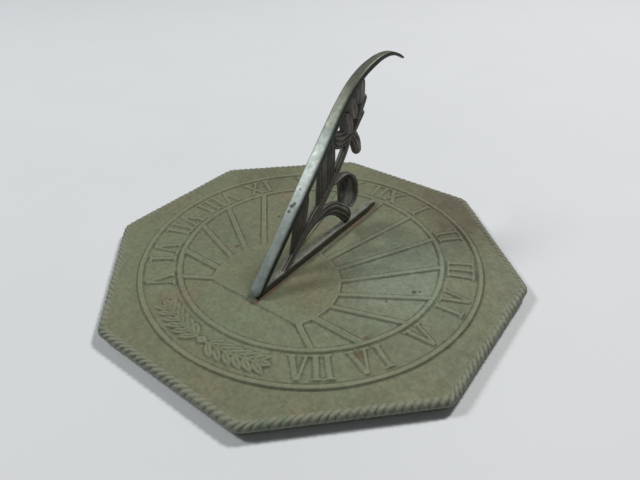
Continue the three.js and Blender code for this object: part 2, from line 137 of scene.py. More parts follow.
RAIL_TOE_LENGTH, RAIL_TOE_WIDTH, RAIL_TOE_SLOPE, RAIL_TOE_DROP = 15, 0.28, 9, 2.8
RAIL_NOSE, RAIL_HEEL, RAIL_GAP = 1.6, 2.0, 0.3
LEAF_STATIONS, LEAF_AROUND = 110, 64
LEAF_ROOT, LEAF_THINNEST, RIB_ROUNDNESS = 0.05, 0.03, 0.75
HUSK = {"rib_depth": 0.16, "roundness": 2.2, "blunt": 0.16}

# Camera: the point it looks at, its angles in degrees, and its lens and sensor
AIM = Vector((-4.90, 16.24, 8.2)) * MM
AZIMUTH, ELEVATION, ROLL = 36.53, 35.58, 0.156
DISTANCE = 361.47 * MM
LENS, SENSOR = 29.74, 36.0


# --- curves and fields -------------------------------------------------------

FAR = 1e9


def smooth_step(value, low, high):
    """0 below low, 1 above high, and an S-curve between."""
    t = np.clip((value - low) / (high - low), 0, 1)
    return t * t * (3 - 2 * t)


def round_off(value, least):
    """A quarter circle that rises to 1 at 1, from where value is least."""
    return np.sqrt(1 - (1 - np.clip(value, least, 1)) ** 2)


def full_turn(count):
    """count directions round a circle, in radians."""
    return np.linspace(0, 2 * math.pi, count, endpoint=False)


def spline(knots, places):
    """A smooth cubic curve through knots, sampled at places from 0 to 1 along its chords."""
    knots = np.asarray(knots, float)
    lengths = np.linalg.norm(np.diff(knots, axis=0), axis=1)
    at = np.concatenate([[0], np.cumsum(lengths)]) / lengths.sum()
    slopes = np.gradient(knots, at, axis=0)
    places = np.asarray(places, float)
    span = np.clip(np.searchsorted(at, places, side="right") - 1, 0, len(at) - 2)
    width = at[span + 1] - at[span]
    t = ((places - at[span]) / width)[:, None]
    width = width[:, None]
    start, end = knots[span], knots[span + 1]
    return (
        (2 * t**3 - 3 * t**2 + 1) * start
        + (t**3 - 2 * t**2 + t) * width * slopes[span]
        + (3 * t**2 - 2 * t**3) * end
        + (t**3 - t**2) * width * slopes[span + 1]
    )


def unevenness(points, size, seed, waves=14):
    """A smooth random field of about unit height whose lumps are about size across."""
    draws = np.random.default_rng(seed)
    points = np.asarray(points, float)
    total = np.zeros(points.shape[:-1])
    for _ in range(waves):
        direction = draws.normal(size=points.shape[-1])
        direction *= 2 * math.pi / (size * draws.uniform(0.7, 1.6) * np.linalg.norm(direction))
        total += np.sin(points @ direction + draws.uniform(0, 2 * math.pi))
    return total / math.sqrt(waves)


def on_dial(bearing, radius):
    """A plan point by its bearing clockwise from noon, in degrees, and its distance from the centre."""
    turn = np.radians(bearing)
    return np.stack([radius * np.sin(turn), radius * np.cos(turn)], axis=-1)


def octagon(bearing, apothem):
    """Distance from the centre to an octagon's side, its corners slightly rounded."""
    facing = np.cos(np.radians(bearing[..., None] - np.arange(0, 360, 45)))
    share = (np.maximum(facing, 0) ** CORNER_SHARPNESS).sum(axis=-1)
    return apothem / share ** (1 / CORNER_SHARPNESS)


# --- meshes ------------------------------------------------------------------

def mesh_piece(name, points, quads, triangles):
    """A smooth-shaded mesh object from points in millimetres and its faces."""
    corners = np.concatenate([quads.ravel(), triangles.ravel()]).astype(np.int32)
    sides = np.concatenate([np.full(len(quads), 4), np.full(len(triangles), 3)])
    starts = np.concatenate([[0], np.cumsum(sides)[:-1]]).astype(np.int32)
    mesh = bpy.data.meshes.new(name)
    mesh.vertices.add(len(points))
    mesh.vertices.foreach_set("co", (points * MM).astype(np.float32).ravel())
    mesh.loops.add(len(corners))
    mesh.loops.foreach_set("vertex_index", corners)
    mesh.polygons.add(len(starts))
    mesh.polygons.foreach_set("loop_start", starts)
    mesh.update(calc_edges=True)
    mesh.validate()
    mesh.shade_smooth()
    piece = bpy.data.objects.new(name, mesh)
    bpy.context.scene.collection.objects.link(piece)
    return piece


def signed_volume(points, quads):
    a, b, c, d = (points[quads[:, i]] for i in range(4))
    return (np.cross(b - a, c - a) * a).sum() + (np.cross(c - a, d - a) * a).sum()


def ring_stack(name, rows, endless=False):
    """A closed mesh through rows of points; each row is a closed ring, and the two end rings are capped.
    With endless=True the last row joins the first instead."""
    count, around = rows.shape[:2]
    points = rows.reshape(-1, 3)
    index = np.arange(count * around).reshape(count, around)
    here = index if endless else index[:-1]
    above = np.roll(index, -1, axis=0) if endless else index[1:]
    quads = np.stack([here, np.roll(here, -1, 1), np.roll(above, -1, 1), above], axis=-1).reshape(-1, 4)
    triangles = np.zeros((0, 3), int)
    if not endless:
        first, last = len(points), len(points) + 1
        points = np.vstack([points, rows[0].mean(axis=0), rows[-1].mean(axis=0)])
        low, high = index[0], index[-1]
        triangles = np.concatenate([
            np.stack([np.roll(low, -1), low, np.full(around, first)], axis=-1),
            np.stack([high, np.roll(high, -1), np.full(around, last)], axis=-1),
        ])
    if signed_volume(points, quads) < 0:
        quads, triangles = quads[:, ::-1], triangles[:, ::-1]
    return mesh_piece(name, points, quads, triangles)


def note_edges(piece, reach, passes, wide_reach=0.0, wide_passes=0):
    """Stores how sharply the surface turns as the attribute "wear": 0.5 on flats, 1 on ridges, 0 in
    hollows. reach is the radius in millimetres at which it saturates; the wide pair adds the same,
    smoothed further."""
    mesh = piece.data
    place = np.empty(len(mesh.vertices) * 3, np.float32)
    normal = np.empty(len(mesh.vertices) * 3, np.float32)
    ends = np.empty(len(mesh.edges) * 2, np.int32)
    mesh.vertices.foreach_get("co", place)
    mesh.vertex_normals.foreach_get("vector", normal)
    mesh.edges.foreach_get("vertices", ends)
    place, normal = place.reshape(-1, 3) / MM, normal.reshape(-1, 3)
    a, b = ends.reshape(-1, 2).T
    step = place[b] - place[a]
    turn = ((normal[b] - normal[a]) * step).sum(axis=1) / np.maximum((step**2).sum(axis=1), 1e-6)
    both = np.concatenate([a, b])
    count = np.maximum(np.bincount(both, minlength=len(place)), 1)
    curve = np.bincount(both, np.concatenate([turn, turn]), len(place)) / count
    wear = 0.5
    for share, times in ((reach, passes), (wide_reach, wide_passes)):
        for _ in range(times):
            near = np.bincount(both, np.concatenate([curve[b], curve[a]]), len(place)) / count
            curve = (curve + near) / 2
        wear = wear + curve * share / 2
    wear = np.clip(wear, 0, 1).astype(np.float32)
    mesh.attributes.new("wear", "FLOAT", "POINT").data.foreach_set("value", wear)
    return piece


# --- relief of the dial: signed distances in plan, negative inside -----------

def line_ways(start, end):
    """A line's length in plan, and the unit vectors along and across it."""
    step = np.subtract(end, start, dtype=float)
    length = np.linalg.norm(step)
    along = step / length
    return length, along, np.array([-along[1], along[0]])


def bar_distance(points, start, end, width):
    """A straight bar with square ends."""
    length, along, across = line_ways(start, end)
    offset = points - np.asarray(start, float)
    lengthwise = np.abs(offset @ along - length / 2) - length / 2
    return np.maximum(lengthwise, np.abs(offset @ across) - width / 2)


def leaf_distance(points, root, tip, width):
    """A pointed leaf between two arcs."""
    length, _, across = line_ways(root, tip)
    radius = (length**2 / 4 + width**2 / 4) / width
    middle = (root + tip) / 2
    return np.maximum(*(
        np.linalg.norm(points - middle - side * across * (radius - width / 2), axis=-1) - radius
        for side in (-1, 1)
    ))


def outline_distance(points, corners):
    """A convex outline, its corners in clockwise order."""
    worst = np.full(points.shape[:-1], -FAR)
    for here, after in zip(corners, np.roll(corners, -1, axis=0)):
        worst = np.maximum(worst, (points - here) @ line_ways(here, after)[2])
    return worst


def step_up(distance, soft):
    """Height share of a cast step with a rounded top edge and a filleted foot."""
    return smooth_step(-distance, -soft, soft)


def letter_strokes(letter):
    """Strokes of a letter as (along, out, along, out, width)."""
    half = NUMERAL_HEIGHT / 2
    serif_at = half - SERIF_THICKNESS / 2

    def serif(along, out):
        return (along - SERIF_LENGTH / 2, out, along + SERIF_LENGTH / 2, out, SERIF_THICKNESS)

    return {
        "I": [(0, -half, 0, half, THICK_STROKE), serif(0, -serif_at), serif(0, serif_at)],
        "V": [
            (-SPLAY, -half, 0, half, THICK_STROKE), (SPLAY, -half, V_FOOT_SHIFT, half, THIN_STROKE),
            serif(-SPLAY, -serif_at), serif(SPLAY, -serif_at),
        ],
        "X": [
            (-SPLAY, -half, SPLAY, half, THICK_STROKE), (SPLAY, -half, -SPLAY, half, THIN_STROKE),
            serif(-SPLAY, -serif_at), serif(SPLAY, -serif_at),
            serif(-SPLAY, serif_at), serif(SPLAY, serif_at),
        ],
    }[letter]


def numeral_bars(text, bearing):
    """The bars of a numeral bent round the ring, its top towards the dial's centre."""
    loose = LOOSE_SPACING.get(text, 0)
    pen = -(sum(ADVANCE[letter] for letter in text) + loose * (len(text) - 1)) / 2

    def wrapped(along, out):
        return on_dial(bearing - math.degrees(along / NUMERAL_RADIUS), NUMERAL_RADIUS + out)

    for letter in text:
        centre = pen + ADVANCE[letter] / 2
        for along_0, out_0, along_1, out_1, width in letter_strokes(letter):
            yield wrapped(centre + along_0, out_0), wrapped(centre + along_1, out_1), width
        pen += ADVANCE[letter] + loose


def spray_leaves():
    """The leaf spray's stem bars and leaves: (kind, root, tip, width)."""
    step = SPRAY_REACH / (SPRAY_LEAVES + 0.8)
    for side in (-1, 1):
        for i in range(SPRAY_LEAVES):
            bearing = SPRAY_MIDDLE + side * step * (i + 0.4)
            root, tip = (on_dial(b, NUMERAL_RADIUS) for b in (bearing, bearing + side * step))
            yield "stem", root, tip, SPRAY_STEM_WIDTH
            root = on_dial(bearing + side * step * 0.3, NUMERAL_RADIUS)
            heading = math.radians(90 - bearing) - side * math.pi / 2
            for lean in (-1, 1):
                way = heading + lean * math.radians(SPRAY_SPREAD)
                tip = root + SPRAY_LEAF_LENGTH * np.array([math.cos(way), math.sin(way)])
                yield "leaf", root, tip, SPRAY_LEAF_WIDTH
        root = on_dial(SPRAY_MIDDLE + side * step * (SPRAY_LEAVES + 0.3), NUMERAL_RADIUS)
        heading = math.radians(90 - SPRAY_MIDDLE - side * SPRAY_REACH) - side * math.pi / 2
        tip = root + SPRAY_TIP_LENGTH * np.array([math.cos(heading), math.sin(heading)])
        yield "leaf", root, tip, SPRAY_LEAF_WIDTH


def numeral_relief(points):
    """Height share of the numerals and the leaf spray."""
    height = np.zeros(points.shape[:-1])
    wobble = NUMERAL_WOBBLE * unevenness(points, 2.6, seed=6)
    for text, bearing in NUMERALS:
        distance = np.full(height.shape, FAR)
        for start, end, width in numeral_bars(text, bearing):
            distance = np.minimum(distance, bar_distance(points, start, end, width))
        height = np.maximum(height, step_up(distance + wobble, NUMERAL_SOFTNESS))
    for kind, root, tip, width in spray_leaves():
        if kind == "stem":
            stem = step_up(bar_distance(points, root, tip, width), 0.4)
            height = np.maximum(height, SPRAY_STEM_RELIEF * stem)
            continue
        vein = np.abs((points - root) @ line_ways(root, tip)[2])
        leaf = step_up(leaf_distance(points, root, tip, width), 0.5)
        veined = 1 - SPRAY_VEIN_DEPTH * np.exp(-((vein / SPRAY_VEIN_WIDTH) ** 2))
        height = np.maximum(height, leaf * veined)
    from_bud = np.linalg.norm(points - on_dial(SPRAY_MIDDLE, NUMERAL_RADIUS), axis=-1)
    return np.maximum(height, step_up(from_bud - SPRAY_BUD_RADIUS, 0.6))


def boss_corners():
    """Corners of the raised flat: where the hour lines cross its circle, then its south edge."""
    corners = []
    for angle in [-90, *[-a for a in reversed(RIB_ANGLES)], 0, *RIB_ANGLES, 90]:
        way = on_dial(angle, 1.0)
        offset = FAN - BOSS_CENTRE
        along = offset @ way
        reach = -along + math.sqrt(along**2 - offset @ offset + BOSS_RADIUS**2)
        corners.append(FAN + reach * way)
    south_half = math.sqrt(BOSS_RADIUS**2 - (BOSS_SOUTH_EDGE - BOSS_CENTRE[1]) ** 2)
    corners += [np.array([south_half, BOSS_SOUTH_EDGE]), np.array([-south_half, BOSS_SOUTH_EDGE])]
    return np.array(corners)


def hour_line_relief(points):
    """Height share of the hour ribs and the raised flat."""
    radius = np.linalg.norm(points, axis=-1)
    noon_end = on_dial(0, RING_INNER[1] - 1)
    distance = bar_distance(points, (0, 0), noon_end, NOON_STRIP_WIDTH)
    for side in (-1, 1):
        for angle in RIB_ANGLES:
            end = FAN + on_dial(side * angle, RIB_REACH)
            distance = np.minimum(distance, bar_distance(points, FAN, end, RIB_WIDTH))
        six_end = FAN + np.array([side * SIX_RIB_REACH, 0.0])
        distance = np.minimum(distance, bar_distance(points, FAN, six_end, SIX_RIB_WIDTH))
        start, end = (np.array([side * x, y]) for x, y in SEVEN_RIB)
        distance = np.minimum(distance, bar_distance(points, start, end, RIB_WIDTH))
    near_noon = np.abs(points[..., 0]) < BOSS_SOUTH_REACH
    distance = np.maximum(distance, np.where(near_noon, BOSS_SOUTH_EDGE - points[..., 1], -FAR))
    distance = np.minimum(distance, outline_distance(points, boss_corners()))
    wobble = HOUR_LINE_WOBBLE * unevenness(points, 3.4, seed=7)
    return step_up(np.maximum(distance, radius - RING_INNER[1] + 1) + wobble, HOUR_LINE_SOFTNESS)


def ring_relief(points, radius, ring):
    """Height share of a ring moulding."""
    middle, half = sum(ring) / 2, (ring[1] - ring[0]) / 2
    wobble = RING_WOBBLE * unevenness(points, 4, seed=10)
    return step_up(np.abs(radius - middle) - half + RING_NARROWING + wobble, RING_SOFTNESS)


def dial_height(points):
    """Height of the dial's surface above the rim's underside."""
    radius = np.linalg.norm(points, axis=-1)
    height = np.maximum(*(ring_relief(points, radius, ring) for ring in (RING_INNER, RING_OUTER)))
    inside = radius < RING_INNER[1]
    height[inside] = np.maximum(height[inside], hour_line_relief(points[inside]))
    between = (radius > RING_INNER[1] - 1) & (radius < RING_OUTER[0] + 1)
    height[between] = np.maximum(height[between], numeral_relief(points[between]))
    groove = np.exp(-(((radius - RING_OUTER[1] - GROOVE_OUTSIDE) / GROOVE_WIDTH) ** 2))
    seam_way = on_dial(SEAM_BEARING, 1.0)
    across_seam = points @ np.array([seam_way[1], -seam_way[0]])
    on_seam = smooth_step(radius, 109, 111) * smooth_step(radius, 119, 116) * (points @ seam_way > 0)
    seam = SEAM_HEIGHT * np.exp(-((across_seam / SEAM_WIDTH) ** 2)) * on_seam
    sway = 0.042 * unevenness(points, 16, seed=3) + 0.021 * unevenness(points, 4.5, seed=4)
    grain = 0.018 * unevenness(points, 1.6, seed=5, waves=20)
    return FIELD_HEIGHT - FIELD_DROP + RELIEF * height - GROOVE_DEPTH * groove + seam + sway + grain


# --- pieces ------------------------------------------------------------------

def dial_casting():
    """The plate: its relief on top, the rim's outer wall, and the shallow recess below."""
    bearing = np.arange(0, 360, DIAL_BEARING_STEP)
    round_radii = np.concatenate([
        np.arange(DIAL_OUTER_STEP, RING_INNER[0] - 1, DIAL_INNER_STEP),
        np.arange(RING_INNER[0] - 1, RING_OUTER[1] + 2, DIAL_OUTER_STEP),
    ])
    rows = []
    for radius in round_radii:
        rows.append(on_dial(bearing, np.full(len(bearing), radius)))
    last_round = round_radii[-1]
    edge = octagon(bearing, ROPE_LINE - 0.6)
    for share in np.linspace(0, 1, DIAL_EDGE_ROWS)[1:]:
        rows.append(on_dial(bearing, last_round + (edge - last_round) * share))
    plan = np.array(rows)
    top = np.concatenate([plan, dial_height(plan)[..., None]], axis=-1)
    inner_wall = ROPE_LINE - RIM_THICKNESS
    section = [
        (ROPE_LINE - 0.2, FIELD_HEIGHT - 0.6), (ROPE_LINE, FIELD_HEIGHT - 1.4), (ROPE_LINE, 2.4),
        (ROPE_LINE, 1.0), (ROPE_LINE - 0.15, 0.3), (ROPE_LINE - 0.6, 0.0), (ROPE_LINE - 2.2, 0.0),
        (inner_wall + 1.6, 0.0), (inner_wall + 1.0, 0.2), (inner_wall + 0.7, 1.0),
        (inner_wall + 0.3, WEB_UNDERSIDE - 0.9), (inner_wall - 0.1, WEB_UNDERSIDE - 0.3),
        (inner_wall - 0.9, WEB_UNDERSIDE),
    ]
    section += [(apothem, WEB_UNDERSIDE) for apothem in np.arange(inner_wall - 3, 1, -2.5)]
    lower = []
    for apothem, height in section:
        reach = octagon(bearing, apothem)
        row = np.column_stack([on_dial(bearing, reach), np.full(len(bearing), height)])
        cast = 0.06 * unevenness(row[:, :2], 9, seed=8) + 0.03 * unevenness(row, 2.4, seed=9)
        row[:, 2] += (height > CEILING_FROM) * cast
        lower.append(row)
    casting = ring_stack("dial_casting", np.concatenate([top, np.array(lower)]))
    return note_edges(casting, 0.9, passes=1, wide_reach=2.2, wide_passes=8)


def rope_border():
    """The twisted rope: strands wind round its line, mitred at the octagon's corners."""
    bearing = np.linspace(0, 360, ROPE_STATIONS, endpoint=False)
    line = on_dial(bearing, octagon(bearing, ROPE_LINE))
    steps = np.linalg.norm(np.roll(line, -1, axis=0) - line, axis=1)
    travelled = (np.cumsum(steps) - steps) / steps.sum()
    travelled = travelled + ROPE_DRIFT * unevenness(line, 14, seed=11)
    rough = unevenness(line, 3, seed=12)
    worn = np.clip(0.68 + 0.2 * unevenness(line, 24, seed=14), 0.35, 1.0)
    rows = []
    for turn in full_turn(ROPE_AROUND):
        wind = travelled * STRAND_COUNT + STRANDS_IN_ROPE * turn / (2 * math.pi)
        lobe = 2 * (wind % 1) - 1
        swell = (0.5 + 0.5 * np.cos(math.pi * lobe)) ** STRAND_ROUNDNESS
        upper = smooth_step(math.sin(turn), -0.25, 0.6)
        cut = STRAND_DEPTH * worn * (STRAND_LOW_SHARE + (1 - STRAND_LOW_SHARE) * upper)
        radius = ROPE_RADIUS - cut * (1 - swell)
        radius = radius * (ROPE_FULLNESS + 0.016 * rough + 0.02 * unevenness(line + turn, 1.8, seed=13))
        reach = octagon(bearing, ROPE_LINE + radius * math.cos(turn))
        height = ROPE_HEIGHT + radius * math.sin(turn)
        rows.append(np.column_stack([on_dial(bearing, reach), height]))
    rope = ring_stack("rope_border", np.array(rows), endless=True)
    return note_edges(rope, 1.3, passes=1, wide_reach=2.0, wide_passes=2)


def oval(half_width, half_depth, squareness, around):
    """A ring of (across, deep) points: an ellipse at squareness 2, squarer above that."""
    turn = full_turn(around)
    across, deep = np.cos(turn), np.sin(turn)
    return (
        half_width * np.sign(across) * np.abs(across) ** (2 / squareness),
        half_depth * np.sign(deep) * np.abs(deep) ** (2 / squareness),
    )


def along_curve(knots, count):
    """Points on a curve in the gnomon's plane and its left-hand normals there."""
    line = spline(knots, np.linspace(0, 1, count))
    way = np.gradient(line, axis=0)
    way /= np.linalg.norm(way, axis=1)[:, None]
    return line, np.column_stack([-way[:, 1], way[:, 0]])


def in_frame(across, plane):
    """Points across the noon line and in the gnomon's plane, as frame points."""
    return np.column_stack([across, plane[:, 0], plane[:, 1] + DIAL_LEVEL])


def style_blade():
    """The shadow-casting edge: a bar with a softly crowned face, curved over like a scythe."""
    line, up = along_curve(STYLE_KNOTS, STYLE_STATIONS)
    share = np.linspace(0, 1, STYLE_STATIONS)
    half = np.interp(line[:, 0], *np.array(STYLE_PLAN).T)
    depth = STYLE_THICKNESS * np.minimum(1, STYLE_TIP_SHARE + 3.2 * (1 - share))
    depth = depth * np.minimum(1, STYLE_FOOT_SHARE + 6 * share)
    size = round_off(share / STYLE_NOSE, 0.02) * round_off((1 - share) / STYLE_POINT, 0.02)
    rows = []
    for i in range(STYLE_STATIONS):
        across, deep = oval(half[i] * size[i], depth[i] / 2 * size[i], BAR_SQUARENESS, BAR_AROUND)
        centre = line[i] - up[i] * depth[i] / 2
        rows.append(in_frame(across, centre + deep[:, None] * up[i]))
    rows = np.array(rows)
    rows[..., 0] += 0.04 * unevenness(rows, 9, seed=21)
    rows[..., 2] += 0.03 * unevenness(rows, 8, seed=22) - BAR_DROP
    return note_edges(ring_stack("style_blade", rows), 1.6, passes=3)


def base_bar():
    """The rail along the noon line, worn round at its top edges and run out to a blunt toe."""
    south, north = RAIL_LOW.y, RAIL_HIGH.y
    top, half_width = RAIL_HIGH.z, RAIL_HIGH.x
    station = np.linspace(south, north, RAIL_STATIONS)
    to_toe = north - station
    widening = (1 - RAIL_TOE_WIDTH) * (to_toe / RAIL_TOE_LENGTH) ** 0.75
    narrowing = np.clip(RAIL_TOE_WIDTH + widening, 0, 1)
    nose = round_off(to_toe / RAIL_NOSE, 0.01)
    heel = round_off((station - south) / RAIL_HEEL, 0.01)
    slope = np.clip(1 - to_toe / RAIL_TOE_SLOPE, 0, 1) * RAIL_TOE_DROP
    bottom = FIELD_HEIGHT + RAIL_GAP
    rows = []
    for i, y in enumerate(station):
        half = RAIL_FACE_SHARE * half_width * narrowing[i] * nose[i] * heel[i]
        across, deep = oval(half, 1.0, BAR_SQUARENESS, BAR_AROUND)
        across = across * (1 + RAIL_FLARE * smooth_step(-deep, 0.3, 1.0)) / (1 + RAIL_FLARE)
        middle, reach = (top - slope[i] + bottom) / 2, (top - slope[i] - bottom) / 2
        rows.append(np.column_stack([across, np.full(len(deep), y), middle + deep * reach]))
    rows = np.array(rows)
    rows[..., 0] *= 1 + 0.025 * unevenness(rows, 11, seed=24)
    rows[..., 2] += 0.07 * unevenness(rows, 8, seed=25) - BAR_DROP
    return note_edges(ring_stack("base_bar", rows), 1.5, passes=2)


def stem_bar():
    """The stem, round with a few lengthwise flutes."""
    line, up = along_curve(STEM_KNOTS, STEM_STATIONS)
    share = np.linspace(0, 1, STEM_STATIONS)
    half = spline(list(enumerate(STEM_HALF_WIDTHS)), share)[:, 1]
    turn = full_turn(BAR_AROUND)
    flute = 1 - STEM_FLUTE_DEPTH * (0.5 - 0.5 * np.cos(turn * STEM_FLUTES)) ** 2
    flare = 1 + STEM_ROOT_FLARE * (1 - smooth_step(share, 0.0, 0.1))
    rows = []
    for i in range(STEM_STATIONS):
        across, deep = oval(STEM_HALF_THICKNESS * flare[i], half[i] * flare[i], STEM_SQUARENESS, BAR_AROUND)
        rows.append(in_frame(across * flute, line[i] + (deep * flute)[:, None] * up[i]))
    rows = np.array(rows)
    rows += 0.05 * unevenness(rows, 5, seed=27)[..., None]
    return note_edges(ring_stack("stem_bar", rows), 1.3, passes=2)


def leaf(name, one_side, other_side, half_thickness, ribs, rib_depth=0.42, roundness=3.0, blunt=0.1,
         lip=0.0, hollow=0.0, veer=0.0):
    """A cast leaf or husk between two edges that run from its root to its tip, the same on both faces.
    ribs run lengthwise, swung sideways by veer; blunt is the share of the length that the tip rounds off
    in; lip is the width of a rolled rim along the second edge, as a share of the leaf's width, beside a
    blade thinned by hollow."""
    share = np.linspace(0, 1, LEAF_STATIONS)
    near, far = spline(one_side, share), spline(other_side, share)
    across = 0.5 - 0.5 * np.cos(np.linspace(0, math.pi, LEAF_AROUND))
    crown = (1 - np.abs(2 * across - 1) ** roundness) ** 0.5
    end = round_off(np.minimum(share / LEAF_ROOT, (1 - share) / blunt), 0.0)
    rows = []
    for i in range(LEAF_STATIONS):
        fan = across + veer * (share[i] - 0.5) * across * (1 - across)
        plane = near[i] + (far[i] - near[i]) * across[:, None]
        fan = fan + 0.05 * np.sin(2 * math.pi * fan + 3 * share[i] + ribs)
        fan = fan + 0.035 * unevenness(plane, 17, seed=ribs)
        cut = rib_depth * (0.8 + 0.3 * unevenness(plane, 12, seed=ribs + 10))
        rib = (0.5 - 0.5 * np.cos(2 * math.pi * ribs * fan)) ** RIB_ROUNDNESS
        body = crown * (1 - cut * (1 - rib))
        if lip:
            rim = smooth_step(across, 1 - 1.5 * lip, 1 - lip)
            rolled = np.sqrt(np.clip(1 - ((1 - across) * 2 / lip - 1) ** 2, 0, 1)) * (across > 1 - lip)
            fade = 1 - 0.45 * smooth_step(share[i], 0.45, 0.8)
            dish = (1 - hollow * fade * smooth_step(across, 0.0, 0.12)) * body
            body = np.where(across > 1 - lip / 2, rolled, dish * (1 - rim) + rim)
        thick = half_thickness * body * max(end[i], LEAF_THINNEST)
        front = in_frame(thick, plane)
        back = in_frame(-thick, plane)[-2:0:-1]
        rows.append(np.vstack([front, back]))
    rows = np.array(rows)
    rows[..., 1:] += 0.06 * unevenness(rows, 4, seed=len(name))[..., None]
    return note_edges(ring_stack(name, rows), 1.1, passes=2)


# The leaves and the ear of grain: the CAD node, the name, the two edges, and leaf's other arguments
ORNAMENT = [
    ("leaf_front", "front_leaf",
     [(-23, 9), (-20.8, 18), (-19.2, 26), (-17.6, 35), (-14.6, 43), (-11, 48)],
     [(-15, 14.5), (-10.4, 21.6), (-5.8, 28.6), (-3.1, 37), (-2, 45), (-3.2, 54.5)],
     1.8, 4, {"veer": -0.5}),
    ("leaf_middle", "middle_leaf",
     [(4.5, 30), (5.2, 42), (5.8, 50), (6.4, 58), (7, 65), (8.6, 69.5)],
     [(14, 36), (15.1, 46), (15.5, 56), (15.7, 66), (16, 74), (16.6, 77.6)],
     1.9, 3, {"veer": 0.9}),
    ("leaf_rear", "rear_leaf",
     [(13.5, 37), (15.3, 46), (15.5, 56), (15.6, 66), (16.2, 74), (18, 78.6)],
     [(20.5, 42), (23.9, 50), (24.8, 58), (24.4, 66), (22.8, 74), (22.4, 81.5)],
     1.9, 3, {"veer": -0.9}),
    ("leaf_arch", "arch_leaf",
     [(-8, 16.8), (0, 20.6), (10, 21.6), (18, 20.3), (25, 17), (31, 11.9), (35, 7.6), (38.2, 5.2),
      (40.6, 5.0)],
     [(-5, 23.4), (2, 27), (11, 30.2), (20, 29.6), (27, 27.5), (34, 23.2), (40, 18.2), (44, 12.6),
      (45.2, 6.4)],
     2.3, 4, {"blunt": 0.07}),
    ("leaf_hood", "hood_leaf",
     [(20.5, 39.5), (25.6, 40.4), (28.2, 38.4), (28.9, 35), (28.9, 31.6), (29.2, 28.4), (30.2, 25.6),
      (32, 23.2)],
     [(21.8, 43), (28.4, 44.6), (35, 44.8), (41.4, 43), (46.8, 39), (50.4, 33.4), (51.8, 27), (51.2, 20.6),
      (47.8, 16.2), (43.6, 14.4)],
     2.4, 4, {"rib_depth": 0.4, "lip": 0.17, "hollow": 0.72, "blunt": 0.03}),
    ("ear_collar", "ear_collar_leaf",
     [(42, 68), (37, 65.2), (32, 64), (28, 64.4), (24.4, 66), (22, 69.6)],
     [(41.6, 75.4), (36.4, 76.4), (31, 76.4), (27, 77), (23.6, 78), (20.9, 78.2)],
     2.6, 4, {"rib_depth": 0.38, "veer": 0.6}),
    ("ear_drooping_petal", "ear_petal",
     [(39.6, 66), (41.6, 63.6), (43, 60.4), (44.4, 57.2), (46.2, 54.8), (48.4, 53.3)],
     [(39, 74), (44.4, 73), (48.4, 69.4), (51.4, 65), (53, 60), (53.3, 56), (52.4, 53.6)],
     2.3, 3, {"rib_depth": 0.3, "blunt": 0.06}),
    ("ear_husk_low_south", "husk_low_south",
     [(33.4, 72), (30.2, 77), (29.7, 81.4), (30.6, 85), (32.6, 87)],
     [(42.4, 71), (43.6, 76), (42.4, 80.4), (39.6, 83.6), (35.2, 86.6)],
     3.0, 2, HUSK),
    ("ear_husk_low_north", "husk_low_north",
     [(38.4, 70.6), (42.2, 75.6), (44.8, 79.8), (48.6, 82.4), (52.6, 83)],
     [(43.6, 69.6), (48.6, 73.2), (51.6, 76.4), (53.8, 79.4), (54.8, 82.2)],
     2.9, 2, HUSK),
    ("ear_husk_high_south", "husk_high_south",
     [(38, 80.6), (35.2, 85.4), (34.4, 90), (35.6, 93.8), (37.8, 95.6)],
     [(45.8, 80), (47.6, 85), (46, 89.8), (42.8, 93.2), (40.2, 95.4)],
     3.2, 2, HUSK),
    ("ear_husk_high_north", "husk_high_north",
     [(42.4, 79.6), (45.6, 84.6), (48, 89), (50.8, 91.8), (53.6, 92.8)],
     [(48.4, 78.6), (52.6, 82.6), (55, 86.2), (56.1, 89.6), (56, 92.2)],
     3.1, 2, HUSK),
    ("ear_bud", "ear_bud_husk",
     [(42.6, 88.6), (39.7, 93.6), (39.8, 98), (42.4, 102), (46.6, 104.8)],
     [(51.6, 88.4), (54.5, 92.6), (54.6, 97.4), (53.4, 101.8), (50.6, 105.4)],
     3.4, 3, {**HUSK, "blunt": 0.14}),
]


def lathe_rows(profile, centre, around=72):
    """Rings of a turned shape: profile is a list of (radius, height)."""
    turn = full_turn(around)
    return np.array([
        np.column_stack([centre.x + r * np.cos(turn), centre.y + r * np.sin(turn), np.full(around, z)])
        for r, z in profile
    ])


def cut_away(piece, cutter):
    """Cuts cutter out of piece and removes it."""
    cut = piece.modifiers.new("cut", "BOOLEAN")
    cut.operation, cut.solver, cut.object = "DIFFERENCE", "EXACT", cutter
    graph = bpy.context.evaluated_depsgraph_get()
    mesh = bpy.data.meshes.new_from_object(piece.evaluated_get(graph))
    piece.modifiers.clear()
    piece.data = mesh
    bpy.data.objects.remove(cutter)


# Fasteners
HEAD_HEIGHT, HEAD_DOME, SHANK_RADIUS = 2.0, 1.1, 1.75
THREAD_DEPTH, THREAD_STEP, STEPS_A_THREAD = 0.22, 0.15, 4
SLOT_HALF_WIDTH, SLOT_DEPTH, SLOT_REACH = 0.42, 0.9, 9
WASHER_BORE_RADIUS, WASHER_BEVEL = 2.1, 0.12


